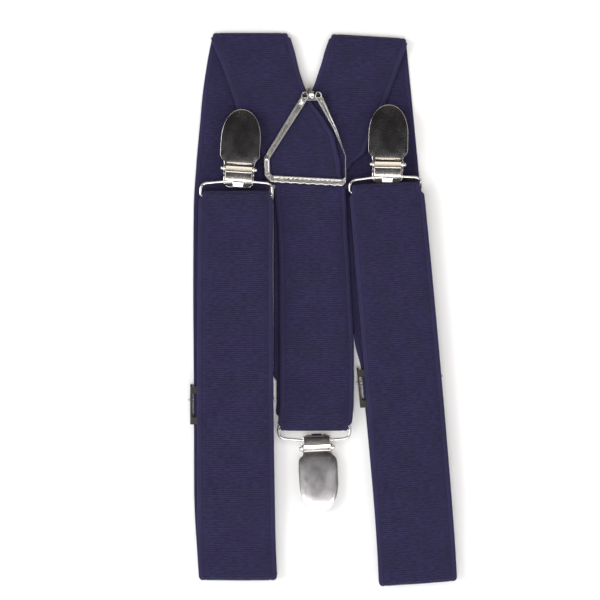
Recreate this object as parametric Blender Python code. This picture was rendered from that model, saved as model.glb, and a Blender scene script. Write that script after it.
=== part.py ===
"""Three-clip Y-back suspenders, folded flat for a shelf. Metres, +Z up.

The part lies on z = 0. +Y runs from the folded lower ends of the two shoulder straps to their
top folds, so that the two front clips point to +Y and the back clip points to -Y.
Lengths are written in millimetres and turned into metres when a mesh is made.
"""

import math
from collections import namedtuple

import bmesh
import bpy
import numpy as np
from mathutils import Matrix, Vector

MM = 0.001

# Elastic webbing
WEB_W = 35.0
WEB_T = 1.2
LEG_TOP_W = 34.6
FOLD_W = 36.4
BACK_W = 34.0
GAP = 0.3
PLY = WEB_T + GAP

# Where each shoulder strap turns back at its lower end: the middle of the fold
FOLD_R = 2.75
FOLD_GAP = 0.4
FOLD_Z = 2.9
LEFT_FOLD = (-39.4, -123.3)
RIGHT_FOLD = (44.3, -124.9)
RIGHT_FOLD_TILT = 4.2

# Top folds of the shoulder straps
TOP_R = 1.6
TOP_Z = WEB_T / 2 + TOP_R
LEFT_TOP = (-33.6, 126.7)
RIGHT_TOP = (21.4, 125.2)

# Wire bail: half its width at the clip bar and at the strap bar, the distance between the two
# bars, and how far the clip bar's ends drop back from its middle
WIRE_R = 0.65
BAIL_HALF = 16.8
STRAP_BAR_HALF = 16.6
BAIL_DEPTH = 6.6
BAIL_BOW = 1.0
LOOP_R = WIRE_R + GAP + WEB_T / 2
LOOP_HALF = 15.8

# The share of a front leg's length where the loop's narrower band begins, and how far each leg
# bows to the right half way up
LOOP_NECK = 0.988
LEFT_LEG_BOW = -0.9
RIGHT_LEG_BOW = 0.85

# Clip, measured from the axis of the bail's clip bar: u to the tip, v across, w up
SHEET = 0.8
PLATE_LOW = -1.9
PAD_HALF = 9.15
REAR_HALF = 8.65
REAR_NECK_HALF = 6.9
JAW_NECK_HALF = 6.0
TIP_U = 33.4
REAR_TIP_U = 32.9
OVAL_LEN = 14.0
EAR_IN = 6.2
EAR_HALF_LEN = 1.9
PIN_W = 3.5
PIN_R = 0.6
PIN_HOLE_R = 0.9
ROLL_R = 1.6
NECK_FROM_PIN = 2.0
LIP_FROM_PIN = 5.8
JAW_AXIS = (3.0, 0.6)
TONGUE_HALF = 2.5
TONGUE_STRETCH = 1.45
LOBE_HALF = 3.3
LOBE_LEN = 2.8

# Cross-back clamp
FRAME_T = 1.0
BACK_FRAME_T = 0.8
FRONT_FRAME_Z = 4.5
CROSS_PIN = (-5.3, 99.9, 6.1)
CROSS_PIN_R = 0.6
EYE_OFFSET = 3.0
EYE_W = 3.2
MID_EYE_W = 2.2

# Length adjuster, measured from its middle: x across the strap, y along it
SLIDE_HALF = 19.4
SLIDE_LEN = 18.6
SLIDE_WALL = 0.9
SLIDE_FLOOR = 1.1
SLIDE_RING_LEN = 3.4
SLIDE_TOP = 4.5
SLIDE_BAR = 0.6
TRUNNION_R = 0.5
TRUNNION_PROUD = 1.0
TRUNNION_Z = 0.72
TRUNNION_Y = 2.0

COLOURS = {
    "navy_webbing": ((0.022, 0.018, 0.062), 0.9, 0.0),
    "navy_webbing_lining": ((0.018, 0.015, 0.05), 0.92, 0.0),
    "nickel": ((0.62, 0.60, 0.58), 0.22, 1.0),
    "dark_nickel": ((0.30, 0.29, 0.29), 0.25, 1.0),
    "black_nylon": ((0.02, 0.02, 0.022), 0.6, 0.0),
}


def clear_scene():
    for obj in list(bpy.data.objects):
        bpy.data.objects.remove(obj, do_unlink=True)


def material(name):
    found = bpy.data.materials.get(name)
    if found:
        return found
    made = bpy.data.materials.new(name)
    made.use_nodes = True
    shader = made.node_tree.nodes["Principled BSDF"]
    colour, roughness, metallic = COLOURS[name]
    shader.inputs["Base Color"].default_value = (*colour, 1.0)
    shader.inputs["Roughness"].default_value = roughness
    shader.inputs["Metallic"].default_value = metallic
    return made


def plan_frame(x, y, z, degrees):
    """A placement at (x, y, z), turned about Z. A clip's u axis starts out along +Y."""
    return Matrix.Translation(Vector((x, y, z))) @ Matrix.Rotation(math.radians(degrees), 4, "Z")


def add(name, bm, look, frame=None, pivot=(0.0, 0.0, 0.0)):
    """Makes an object from a mesh in the frame's millimetres, with its origin at the pivot."""
    frame = frame or Matrix.Identity(4)
    bmesh.ops.translate(bm, verts=bm.verts, vec=-Vector(pivot))
    bmesh.ops.scale(bm, verts=bm.verts, vec=(MM, MM, MM))
    bmesh.ops.recalc_face_normals(bm, faces=bm.faces)
    mesh = bpy.data.meshes.new(name)
    bm.to_mesh(mesh)
    bm.free()
    mesh.materials.append(material(look))
    mesh.shade_smooth()
    mesh.set_sharp_from_angle(angle=math.radians(40))
    obj = bpy.data.objects.new(name, mesh)
    bpy.context.scene.collection.objects.link(obj)
    place = frame @ Matrix.Translation(Vector(pivot))
    place.translation = place.translation * MM
    obj.matrix_world = place
    return obj


def prism(bm, loop, offset):
    """A closed prism: the loop's points, in order, and the same points moved by the offset."""
    low = [bm.verts.new(Vector(p)) for p in loop]
    high = [bm.verts.new(Vector(p) + Vector(offset)) for p in loop]
    count = len(loop)
    bm.faces.new(low[::-1])
    bm.faces.new(high)
    for i in range(count):
        j = (i + 1) % count
        bm.faces.new((low[i], low[j], high[j], high[i]))


def ring_prism(bm, inner, outer, offset):
    """A closed ring between two loops that have the same number of points."""
    rows = []
    for loop in (inner, outer):
        rows.append([bm.verts.new(Vector(p)) for p in loop])
        rows.append([bm.verts.new(Vector(p) + Vector(offset)) for p in loop])
    in_low, in_high, out_low, out_high = rows
    count = len(inner)
    for i in range(count):
        j = (i + 1) % count
        bm.faces.new((in_low[i], in_low[j], in_high[j], in_high[i]))
        bm.faces.new((out_low[i], out_high[i], out_high[j], out_low[j]))
        bm.faces.new((in_high[i], in_high[j], out_high[j], out_high[i]))
        bm.faces.new((in_low[i], out_low[i], out_low[j], in_low[j]))


def rounded(corners, steps=4):
    """The outline of a polygon whose corners (x, y, radius) are rounded."""
    points = []
    count = len(corners)
    for i, (x, y, radius) in enumerate(corners):
        here = Vector((x, y))
        before = Vector(corners[i - 1][:2]) - here
        after = Vector(corners[(i + 1) % count][:2]) - here
        half = before.angle(after) / 2
        reach = radius / math.tan(half)
        start = here + before.normalized() * reach
        end = here + after.normalized() * reach
        for k in range(steps + 1):
            t = k / steps
            a = (1 - t) ** 2
            b = 2 * t * (1 - t)
            points.append(start * a + here * b + end * t * t)
    return points


def join(target, *tools, operation="UNION"):
    """Applies one Boolean for each tool, and removes the tools."""
    for tool in tools:
        cut = target.modifiers.new(operation.lower(), "BOOLEAN")
        cut.operation = operation
        cut.solver = "EXACT"
        cut.object = tool
        bpy.context.view_layer.update()
        graph = bpy.context.evaluated_depsgraph_get()
        mesh = bpy.data.meshes.new_from_object(target.evaluated_get(graph))
        target.modifiers.clear()
        target.data = mesh
        bpy.data.objects.remove(tool, do_unlink=True)
    target.data.shade_smooth()
    target.data.set_sharp_from_angle(angle=math.radians(40))


def smooth_line(knots, steps):
    """Points on a cubic curve through the knots, which never swings past a knot's value."""
    knots = np.array(knots, float)
    rises = np.diff(knots, axis=0)
    before, after = rises[:-1], rises[1:]
    total = before + after
    same_way = before * after > 0
    slopes = np.zeros_like(knots)
    slopes[0], slopes[-1] = rises[0], rises[-1]
    inner = np.where(same_way, 2 * before * after / np.where(same_way, total, 1.0), 0.0)
    slopes[1:-1] = inner
    points = []
    for i, rise in enumerate(rises):
        for k in range(steps):
            t = k / steps
            ease = t * t * (3 - 2 * t)
            lead = t * (1 - t) ** 2
            trail = -t * t * (1 - t)
            points.append(knots[i] + ease * rise + lead * slopes[i] + trail * slopes[i + 1])
    points.append(knots[-1])
    return points


def ribbon(bm, route, thickness=WEB_T):
    """A band of webbing along a route of (x, y, z, width, tilt).

    Its cross lines lie flat, turned by the tilt in degrees from +X, and the width is measured
    square to the route.
    """
    centres = [Vector(p[:3]) for p in route]
    rows = []
    for i, (_, _, _, width, tilt) in enumerate(route):
        tangent = (centres[min(i + 1, len(route) - 1)] - centres[max(i - 1, 0)]).normalized()
        across = Vector((math.cos(math.radians(tilt)), math.sin(math.radians(tilt)), 0))
        normal = across.cross(tangent).normalized()
        flat = math.hypot(tangent.x, tangent.y)
        slant = 1.0
        if flat > 0.5:
            slant = abs(across.x * tangent.y - across.y * tangent.x) / flat
        side = across * (width / 2 / slant)
        up = normal * thickness / 2
        corners = (-side - up, side - up, side + up, -side + up)
        rows.append([bm.verts.new(centres[i] + c) for c in corners])
    for first, second in zip(rows, rows[1:]):
        for k in range(4):
            m = (k + 1) % 4
            bm.faces.new((first[k], second[k], second[m], first[m]))
    bm.faces.new(rows[0])
    bm.faces.new(rows[-1][::-1])


def half_turn(x, y, z, radius, start, end, width, tilt, steps=8):
    """Route points round a fold: an arc in the upright plane that is square to its cross lines."""
    lean = math.radians(tilt)
    points = []
    for k in range(steps + 1):
        angle = math.radians(start + (end - start) * k / steps)
        forward = radius * math.cos(angle)
        points.append((
            x - forward * math.sin(lean),
            y + forward * math.cos(lean),
            z + radius * math.sin(angle),
            width,
            tilt,
        ))
    return points


# ---------------------------------------------------------------- webbing

# Each line of knots is (x, y, z of the middle of the ply, width, tilt of the cross lines).
LEFT_RISE = [
    (*LEFT_FOLD, 0.6, FOLD_W, 0.0),
    (-40.6, -112.0, 0.6, 35.6, 0.0),
    (-42.3, -84.0, 2.1, WEB_W, 0.0),
    (-42.4, -50.0, 2.1, WEB_W, 0.0),
    (-42.5, -32.0, 2.1, WEB_W, 0.0),
    (-42.7, -10.0, 1.7, WEB_W, 0.0),
    (-42.8, 10.0, 1.7, WEB_W, 0.0),
    (-42.6, 45.0, 1.7, WEB_W, 0.0),
    (-41.4, 66.0, 1.7, WEB_W, 0.0),
    (-39.8, 84.0, 1.7, WEB_W, 0.0),
    (-38.4, 99.0, 1.5, WEB_W, 0.0),
    (-36.0, 115.0, 0.7, WEB_W, 0.0),
    (*LEFT_TOP, 0.6, WEB_W, 0.0),
]
LEFT_DIAGONAL = [
    (*LEFT_TOP, 3.8, WEB_W, 0.0),
    (-30.5, 118.0, 3.65, 34.2, 0.0),
    (-26.9, 107.0, 3.6, 32.8, 0.0),
    (-22.4, 95.5, 3.6, 32.4, -1.0),
    (-16.8, 86.0, 3.6, 32.8, -2.0),
    (-12.4, 78.0, 3.6, 33.4, -3.0),
    (-9.6, 69.0, 3.6, 34.0, -3.0),
    (-8.2, 62.0, 3.6, 32.8, -3.0),
    (-6.4, 58.3, 3.6, 32.4, -3.0),
]
RIGHT_RISE = [
    (*RIGHT_FOLD, 0.6, FOLD_W, RIGHT_FOLD_TILT),
    (43.3, -112.0, 0.6, 35.6, 4.5),
    (40.95, -84.0, 2.1, WEB_W, 5.2),
    (37.86, -50.0, 2.1, WEB_W, 5.2),
    (35.4, -26.0, 2.1, WEB_W, 5.2),
    (31.9, -10.0, 0.7, WEB_W, 4.5),
    (30.3, 10.0, 0.6, WEB_W, 3.5),
    (28.4, 50.0, 0.6, WEB_W, 1.0),
    (25.6, 82.0, 0.6, WEB_W, -1.0),
    (23.0, 108.0, 0.6, WEB_W, -2.5),
    (*RIGHT_TOP, 0.6, WEB_W, -3.5),
]
RIGHT_DIAGONAL = [
    (*RIGHT_TOP, 3.8, WEB_W, -3.5),
    (18.8, 118.0, 3.2, WEB_W, -3.0),
    (16.4, 110.5, 2.3, 34.6, -2.0),
    (13.5, 102.6, 2.1, 33.8, -1.0),
    (10.6, 96.0, 2.1, 34.0, 0.0),
    (6.0, 86.0, 2.1, WEB_W, 0.0),
    (1.0, 76.0, 2.1, 34.2, 0.0),
    (-3.4, 69.0, 2.1, 33.0, 0.0),
    (-5.0, 63.0, 2.1, 31.2, 0.0),
    (-5.6, 57.5, 2.1, 30.5, 0.0),
]


def above(knots, lift):
    """A ply's knots, raised for a ply that lies on it."""
    return [(x, y, z + lift, width, tilt) for x, y, z, width, tilt in knots]


def shoulder_strap(name, rise, top, diagonal):
    """The main ply: up from the lower fold, over the top fold and down to the cross."""
    route = smooth_line(rise, 3)
    route += half_turn(*top, TOP_Z, TOP_R, -90, 90, WEB_W, rise[-1][4])[1:-1]
    route += smooth_line(diagonal, 3)
    bm = bmesh.new()
    ribbon(bm, route)
    add(name, bm, "navy_webbing")


def return_ply(name, rise, end_y):
    """The ply that runs back from the lower fold into the adjuster, on top of the main ply."""
    lower, upper = rise[3:5]
    share = (end_y - lower[1]) / (upper[1] - lower[1])
    end = [a + (b - a) * share for a, b in zip(lower, upper)]
    route = smooth_line(above(rise[:4], PLY), 3) + above([end], PLY)
    bm = bmesh.new()
    ribbon(bm, route)
    add(name, bm, "navy_webbing_lining")


def lower_fold(name, x, y, tilt):
    """Both plies where they turn from the under leg into the front leg, as one thick band."""
    thick = FOLD_R - FOLD_GAP
    lean = math.radians(tilt)
    centre = (x + FOLD_GAP * math.sin(lean), y - FOLD_GAP * math.cos(lean), FOLD_Z)
    route = half_turn(*centre, FOLD_R - thick / 2, 270, 90, FOLD_W, tilt, steps=12)
    bm = bmesh.new()
    ribbon(bm, route, thick)
    add(name, bm, "navy_webbing", pivot=(x, y, FOLD_Z))


def leg_band(name, lower, loop, upper, tilt, end=90):
    """Two plies and the sewn loop that holds the bail between them.

    loop is the middle of the loop, which turns from its underside, at -90 degrees, to the end.
    """
    route = smooth_line(lower, 3)
    route += half_turn(*loop, LOOP_R, -90, end, 2 * LOOP_HALF, tilt)
    route += smooth_line(upper, 3)
    bm = bmesh.new()
    ribbon(bm, route)
    add(name, bm, "navy_webbing")


def front_leg(name, bottom, loop, tilt_low, tilt_high, bow):
    """A front leg between its lower fold and the loop round the bail.

    bow is how far its plies lie to the right of the straight line half way up.
    """
    levels = (
        # (share of the way up, z of the lower ply, z of the upper ply)
        (0.0, 3.7, 5.2),
        (0.07, 3.7, 5.2),
        (0.22, 6.0, 7.5),
        (0.5, 6.0, 7.5),
        (0.8, 6.0, 7.5),
        (0.93, 5.5, 7.7),
        (0.972, loop[2] - LOOP_R, loop[2] + LOOP_R),
    )
    lower = []
    upper = []
    for share, low, high in levels:
        aside = bow * math.sqrt(math.sin(math.pi * share))
        x = bottom[0] + (loop[0] - bottom[0]) * share + aside
        y = bottom[1] + (loop[1] - bottom[1]) * share
        width = FOLD_W + (LEG_TOP_W - FOLD_W) * share
        tilt = tilt_low + (tilt_high - tilt_low) * share
        lower.append((x, y, low, width, tilt))
        upper.append((x, y, high, width, tilt))
    neck = [a + (b - a) * LOOP_NECK for a, b in zip(bottom, loop)]
    neck[0] += bow * math.sqrt(math.sin(math.pi * LOOP_NECK))
    lower.append((*neck, lower[-1][2], 2 * LOOP_HALF, tilt_high))
    upper.append((*neck, upper[-1][2], 2 * LOOP_HALF, tilt_high))
    leg_band(name, lower, loop, upper[::-1], tilt_high)


def back_strap(name, loop, tilt):
    """The single back strap, from the cross down to the loop round its bail."""
    sewn_back = [
        (-6.05, 46.0, 0.6, 33.1, 0.0),
        (-6.05, 20.0, 0.6, 33.1, 0.0),
        (-6.05, -27.0, 0.6, 33.1, 0.0),
        (-4.95, -34.0, 0.6, 33.0, 0.0),
        (-4.95, -44.0, 0.6, 33.0, 0.0),
        (-3.4, -50.3, 0.6, BACK_W, tilt),
    ]
    top = [
        (-3.2, -50.3, loop[2] + LOOP_R, BACK_W, tilt),
        (-2.6, -42.0, 2.6, 34.3, 0.0),
        (-2.6, -20.0, 2.1, 34.5, 0.0),
        (-3.3, 4.0, 2.1, 33.4, 0.0),
        (-3.8, 23.0, 2.1, 32.6, 0.0),
        (-4.5, 36.0, 2.2, 32.1, -1.0),
        (-5.2, 48.0, 3.0, 32.6, -2.0),
        (-5.7, 54.5, 3.55, 32.8, -3.0),
        (-5.8, 57.2, 3.6, 32.8, -3.0),
    ]
    leg_band(name, sewn_back, loop, top, tilt, end=-270)


def make_webbing():
    shoulder_strap("left_shoulder_strap", LEFT_RISE, LEFT_TOP, LEFT_DIAGONAL)
    shoulder_strap("right_shoulder_strap", RIGHT_RISE, RIGHT_TOP, RIGHT_DIAGONAL)
    return_ply("left_return_ply", LEFT_RISE, -37.0)
    return_ply("right_return_ply", RIGHT_RISE, -28.0)
    lower_fold("left_lower_fold", *LEFT_FOLD, 0.0)
    lower_fold("right_lower_fold", *RIGHT_FOLD, RIGHT_FOLD_TILT)
    left_loop = loop_middle("left")
    front_leg("left_front_leg", LEFT_FOLD, left_loop, 0.0, 0.0, LEFT_LEG_BOW)
    right_loop = loop_middle("right")
    front_leg("right_front_leg", RIGHT_FOLD, right_loop, RIGHT_FOLD_TILT, 2.5, RIGHT_LEG_BOW)
    back_strap("back_strap", loop_middle("back"), 0.0)


# ---------------------------------------------------------------- clips

# x, y, z are the middle of the bail's strap bar. slide is how far the clip sits along the clip
# bar from its middle, slack how far the webbing's loop runs on past the strap bar, and pin_u
# where the lever's pin is.
Clip = namedtuple("Clip", "x y z bail_turn clip_turn slide slack pin_u")
CLIPS = {
    "left": Clip(-40.0, 52.9, 6.4, 0.0, -3.7, 0.8, 0.0, 5.6),
    "right": Clip(29.4, 55.0, 6.4, 2.5, -1.2, 1.0, 1.5, 5.6),
    "back": Clip(-3.9, -54.4, 2.3, 180.0, 182.6, -1.2, 0.0, 3.4),
}


def loop_middle(side):
    """The middle of the webbing's loop round the strap bar."""
    clip = CLIPS[side]
    return plan_frame(clip.x, clip.y, clip.z, clip.bail_turn) @ Vector((0, clip.slack, 0))


def clip_frames(side):
    """The placements of the bail and of the clip, both with their origin on the clip bar."""
    clip = CLIPS[side]
    strap_bar = plan_frame(clip.x, clip.y, clip.z, clip.bail_turn)
    bail_at = strap_bar @ Vector((0, BAIL_DEPTH, 0))
    clip_at = strap_bar @ Vector((clip.slide, BAIL_DEPTH, 0))
    return plan_frame(*bail_at, clip.bail_turn), plan_frame(*clip_at, clip.clip_turn)


def oval_outline(half, neck_half, start_u, neck_u, tip_u, steps=10):
    """The clip's plate, as (v, u) points from its neck on the -v side round the tip and back."""
    side = []
    if start_u < neck_u:
        side.append((neck_half, start_u))
    side += [(neck_half, neck_u), (neck_half, neck_u + 0.6)]
    side += [(half - 0.5, neck_u + 2.8), (half, neck_u + 4.6)]
    widest = tip_u - OVAL_LEN
    side.append((half, widest))
    for k in range(1, steps):
        angle = math.pi / 2 * k / steps
        side.append((half * math.cos(angle) ** 0.92, widest + OVAL_LEN * math.sin(angle)))
    return side + [(0.0, tip_u)] + [(-v, u) for v, u in reversed(side)]


def bail(name, frame):
    """A closed ring of round wire, its clip bar bowed away from the strap."""
    outline = rounded(
        [
            (-BAIL_HALF, -BAIL_BOW, 3.8),
            (-4.0, 0.0, 1.0),
            (4.0, 0.0, 1.0),
            (BAIL_HALF, -BAIL_BOW, 3.8),
            (STRAP_BAR_HALF, -BAIL_DEPTH, 1.3),
            (-STRAP_BAR_HALF, -BAIL_DEPTH, 1.3),
        ],
        steps=4,
    )
    count = len(outline)
    sides = 8
    bm = bmesh.new()
    rows = []
    for i, point in enumerate(outline):
        along = (outline[(i + 1) % count] - outline[i - 1]).normalized()
        out = Vector((along.y, -along.x))
        row = []
        for k in range(sides):
            angle = 2 * math.pi * k / sides
            reach = WIRE_R * math.cos(angle)
            row.append(bm.verts.new(
                (point.x + out.x * reach, point.y + out.y * reach, WIRE_R * math.sin(angle))
            ))
        rows.append(row)
    for i in range(count):
        first, second = rows[i], rows[(i + 1) % count]
        for k in range(sides):
            m = (k + 1) % sides
            bm.faces.new((first[k], second[k], second[m], first[m]))
    add(name, bm, "nickel", frame, pivot=(0.0, -BAIL_DEPTH, 0.0))


def curl_outline(inner, outer, start, end, steps=10):
    """A thick arc in the (u, w) plane, from start to end in degrees."""
    angles = [math.radians(start + (end - start) * k / steps) for k in range(steps + 1)]
    outside = [(outer * math.cos(a), outer * math.sin(a)) for a in angles]
    inside = [(inner * math.cos(a), inner * math.sin(a)) for a in reversed(angles)]
    return outside + inside


def circle(centre, radius, count=16):
    angles = [2 * math.pi * k / count for k in range(count)]
    return [(centre[0] + radius * math.cos(a), centre[1] + radius * math.sin(a)) for a in angles]


def across(outline, start, width):
    """A closed piece with a (u, w) outline that runs from v = start over a width."""
    bm = bmesh.new()
    prism(bm, [(start, u, w) for u, w in outline], (width, 0, 0))
    return bm


def lobes():
    """The rear plate's two rounded ends beyond the clip bar, as one (v, u) outline."""
    points = []
    for middle in (LOBE_HALF + 0.2, -LOBE_HALF - 0.2):
        for k in range(9):
            angle = math.pi * k / 8
            v = middle + LOBE_HALF * math.cos(angle)
            points.append((v, -0.2 - LOBE_LEN * math.sin(angle)))
    edge = 2 * LOBE_HALF + 0.2
    return [(edge, 2.4)] + points + [(-edge, 2.4)]


def rear_plate(name, frame, pin_u):
    """The clip's back: an oval plate, two ears for the pin and a tongue round the clip bar."""
    neck_u = pin_u + NECK_FROM_PIN
    bm = bmesh.new()
    outline = oval_outline(REAR_HALF, REAR_NECK_HALF, 1.8, neck_u, REAR_TIP_U)
    prism(bm, [(v, u, PLATE_LOW) for v, u in outline], (0, 0, SHEET))
    plate = add(name, bm, "nickel", frame)

    bm = bmesh.new()
    prism(bm, [(v, u, PLATE_LOW) for v, u in lobes()], (0, 0, SHEET))
    curl = curl_outline(-PLATE_LOW - SHEET, -PLATE_LOW, 275, 62)
    curl = [(u * TONGUE_STRETCH if u < 0 else u, w) for u, w in curl]
    tongue = across(curl, -TONGUE_HALF, 2 * TONGUE_HALF)
    join(plate, add("lobes", bm, "nickel", frame), add("tongue", tongue, "nickel", frame))

    arch = [(pin_u - EAR_HALF_LEN, PLATE_LOW + 0.15)]
    for k in range(9):
        angle = math.pi * (1 - k / 8)
        arch.append((pin_u + EAR_HALF_LEN * math.cos(angle), PIN_W + ROLL_R * math.sin(angle)))
    arch.append((pin_u + EAR_HALF_LEN, PLATE_LOW + 0.15))
    for start in (-EAR_IN - SHEET, EAR_IN):
        join(plate, add("ear", across(arch, start, SHEET), "nickel", frame))
    reach = EAR_IN + SHEET + 0.5
    hole = across(circle((pin_u, PIN_W), PIN_HOLE_R), -reach, 2 * reach)
    join(plate, add("hole", hole, "nickel", frame), operation="DIFFERENCE")


def grip(name, root, face, frame, pivot=(0.0, 0.0, 0.0)):
    """A nylon pad from its root on the metal to its flat face, which has cross teeth."""
    half, start, end, teeth, depth = 6.6, 14.5, 29.0, 6, 0.3
    pitch = (end - start) / teeth
    valley = face - math.copysign(depth, face - root)
    profile = [(start, root)]
    for k in range(teeth):
        u = start + k * pitch
        profile += [(u + 0.15, valley), (u + pitch / 2, face), (u + pitch - 0.15, valley)]
    profile.append((end, root))
    add(name, across(profile, -half, 2 * half), "black_nylon", frame, pivot)


def front_jaw(name, frame, pin_u):
    """The oval cover: a domed plate whose neck dips under the lever to its own hinge line."""
    neck_u = pin_u + NECK_FROM_PIN
    outline = oval_outline(PAD_HALF, JAW_NECK_HALF, neck_u, neck_u, TIP_U)
    low = 1.4
    levels = ((1.0, low), (1.0, 1.9), (0.965, 2.15), (0.86, 2.55), (0.62, 2.9), (0.3, 3.1))
    middle_u = 21.0
    bm = bmesh.new()
    rows = []
    for share, w in levels:
        rows.append([
            bm.verts.new((v * share, middle_u + (u - middle_u) * share, w)) for v, u in outline
        ])
    count = len(outline)
    for first, second in zip(rows, rows[1:]):
        for i in range(count):
            j = (i + 1) % count
            bm.faces.new((first[i], first[j], second[j], second[i]))
    bm.faces.new(rows[0][::-1])
    bm.faces.new(rows[-1])
    pivot = (0.0, *JAW_AXIS)
    jaw = add(name, bm, "dark_nickel", frame, pivot)

    tail_u, tail_w = JAW_AXIS
    neck = [
        (tail_u - 0.4, tail_w),
        (tail_u - 0.2, tail_w - 0.4),
        (neck_u + 1.0, tail_w - 0.4),
        (neck_u + 4.4, low + 0.1),
        (neck_u + 4.4, low + 0.5),
        (neck_u + 1.0, low + 0.4),
        (neck_u - 0.2, tail_w + 0.4),
        (tail_u - 0.2, tail_w + 0.4),
    ]
    ridge = [
        (neck_u, low + 0.1),
        (neck_u + 1.0, low + 0.1),
        (neck_u + 0.8, low + 1.1),
        (neck_u + 0.4, low + 1.3),
        (neck_u + 0.1, low + 1.1),
    ]
    for outline, half in ((neck, 5.4), (ridge, 5.7)):
        join(jaw, add("neck", across(outline, -half, 2 * half), "dark_nickel", frame, pivot))


def lever(name, frame, pin_u):
    """Sheet rolled round the pin, running back over the neck to a lip that a finger lifts."""
    inner = PIN_HOLE_R
    roll = curl_outline(inner, ROLL_R, -190, 90, steps=14)
    outside, inside = roll[: len(roll) // 2], roll[len(roll) // 2 :]
    plate = [
        (0.6 - LIP_FROM_PIN, ROLL_R - 0.25),
        (-LIP_FROM_PIN, ROLL_R - 0.9),
        (0.1 - LIP_FROM_PIN, ROLL_R - 1.5),
        (1.2 - LIP_FROM_PIN, ROLL_R - 1.0),
        (-1.6, inner),
    ]
    half = EAR_IN - 0.35
    profile = [(pin_u + u, PIN_W + w) for u, w in outside + plate + inside]
    pivot = (0.0, pin_u, PIN_W)
    add(name, across(profile, -half, 2 * half), "nickel", frame, pivot)


def pin(name, frame, centre, half_length, radius, head, head_at):
    """A round pin across the frame, with a head at each end from head_at outwards."""
    stations = [(-half_length, head * 0.8), (-half_length + 0.1, head), (-head_at, head)]
    stations += [(-head_at, radius), (head_at, radius), (head_at, head)]
    stations += [(half_length - 0.1, head), (half_length, head * 0.8)]
    sides = 12
    bm = bmesh.new()
    rows = []
    for x, r in stations:
        ring = circle(centre[1:], r, sides)
        rows.append([bm.verts.new((centre[0] + x, u, w)) for u, w in ring])
    for first, second in zip(rows, rows[1:]):
        for k in range(sides):
            m = (k + 1) % sides
            bm.faces.new((first[k], first[m], second[m], second[k]))
    bm.faces.new(rows[0][::-1])
    bm.faces.new(rows[-1])
    add(name, bm, "nickel", frame, pivot=centre)


def make_clips():
    for side, clip in CLIPS.items():
        bail_frame, clip_frame = clip_frames(side)
        bail(f"{side}_clip_bail", bail_frame)
        rear_plate(f"{side}_clip_rear_plate", clip_frame, clip.pin_u)
        grip(f"{side}_clip_lower_grip", PLATE_LOW + SHEET + GAP, 0.0, clip_frame)
        front_jaw(f"{side}_clip_front_jaw", clip_frame, clip.pin_u)
        grip(f"{side}_clip_upper_grip", 1.1, 0.3, clip_frame, pivot=(0.0, *JAW_AXIS))
        lever(f"{side}_clip_lever", clip_frame, clip.pin_u)
        centre = (0.0, clip.pin_u, PIN_W)
        pin(f"{side}_clip_pin", clip_frame, centre, 8.5, PIN_R, 0.95, 7.35)


# ---------------------------------------------------------------- cross-back clamp

# Corners (x, y, radius) of the triangle, counted from the left of the apex, anticlockwise
FRAME_OUTER = [
    (-10.4, 97.9, 1.0),
    (-27.3, 70.8, 2.0),
    (-27.0, 62.2, 2.0),
    (-24.4, 59.2, 1.6),
    (9.4, 57.3, 1.2),
    (10.9, 59.0, 1.2),
    (10.9, 71.4, 2.5),
    (6.7, 83.8, 6.0),
    (0.4, 97.9, 1.0),
]
FRAME_INNER = [
    (-7.8, 96.4, 0.6),
    (-24.6, 70.0, 1.2),
    (-24.4, 63.4, 1.2),
    (-23.4, 62.5, 0.6),
    (8.6, 60.8, 0.5),
    (9.6, 61.6, 0.5),
    (9.5, 71.6, 2.0),
    (5.1, 83.8, 6.0),
    (-2.0, 96.4, 0.6),
]
RIGHT_CORNER_X = 8.0


def triangle(bm, z, thickness, shift=0.0):
    """The clamp's open triangle. shift moves its lower right corner inwards."""
    def moved(corners):
        return [(x - shift * (x > RIGHT_CORNER_X), y, r) for x, y, r in corners]

    inner = [(p.x, p.y, z) for p in rounded(moved(FRAME_INNER), steps=3)]
    outer = [(p.x, p.y, z) for p in rounded(moved(FRAME_OUTER), steps=3)]
    ring_prism(bm, inner, outer, (0, 0, thickness))


def knuckle(x, width):
    """A roll round the hinge pin, closed but for the slit that a rolled sheet has."""
    inner, outer = CROSS_PIN_R + GAP, CROSS_PIN_R + GAP + 0.7
    outline = curl_outline(inner, outer, -60, 240, steps=12)
    loop = [(CROSS_PIN[1] + u, CROSS_PIN[2] + w) for u, w in outline]
    return add("knuckle", across(loop, x - width / 2, width), "nickel", pivot=CROSS_PIN)


def block(corner, size):
    bm = bmesh.new()
    x, y, z = corner
    dx, dy, dz = size
    prism(bm, [(x, y, z), (x + dx, y, z), (x + dx, y + dy, z), (x, y + dy, z)], (0, 0, dz))
    return add("block", bm, "nickel", pivot=CROSS_PIN)


def make_cross():
    x, y, z = CROSS_PIN
    bm = bmesh.new()
    triangle(bm, FRONT_FRAME_Z, FRAME_T)
    front = add("cross_front_frame", bm, "nickel", pivot=CROSS_PIN)
    for middle in (x - EYE_OFFSET, x + EYE_OFFSET):
        web = block((middle - 1.4, y - 3.0, FRONT_FRAME_Z + 0.2), (2.8, 1.8, 0.7))
        join(front, web, knuckle(middle, EYE_W))

    # The back half reaches its knuckle through the gap where the straps part
    bm = bmesh.new()
    triangle(bm, 0.0, BACK_FRAME_T, shift=2.1)
    back = add("cross_back_frame", bm, "nickel")
    foot = block((x - 1.4, y - 3.1, 0.1), (0.8, 6.2, 0.6))
    riser = block((x - 1.4, y + 2.3, 0.1), (0.8, 0.8, z - 0.1))
    arm = block((x - 1.05, y + 1.1, z - 0.9), (0.8, 2.0, 0.85))
    join(back, foot, riser, arm, knuckle(x, MID_EYE_W))
    pin("cross_hinge_pin", None, CROSS_PIN, 4.95, CROSS_PIN_R, 0.8, 4.75)


# ---------------------------------------------------------------- length adjusters

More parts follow.
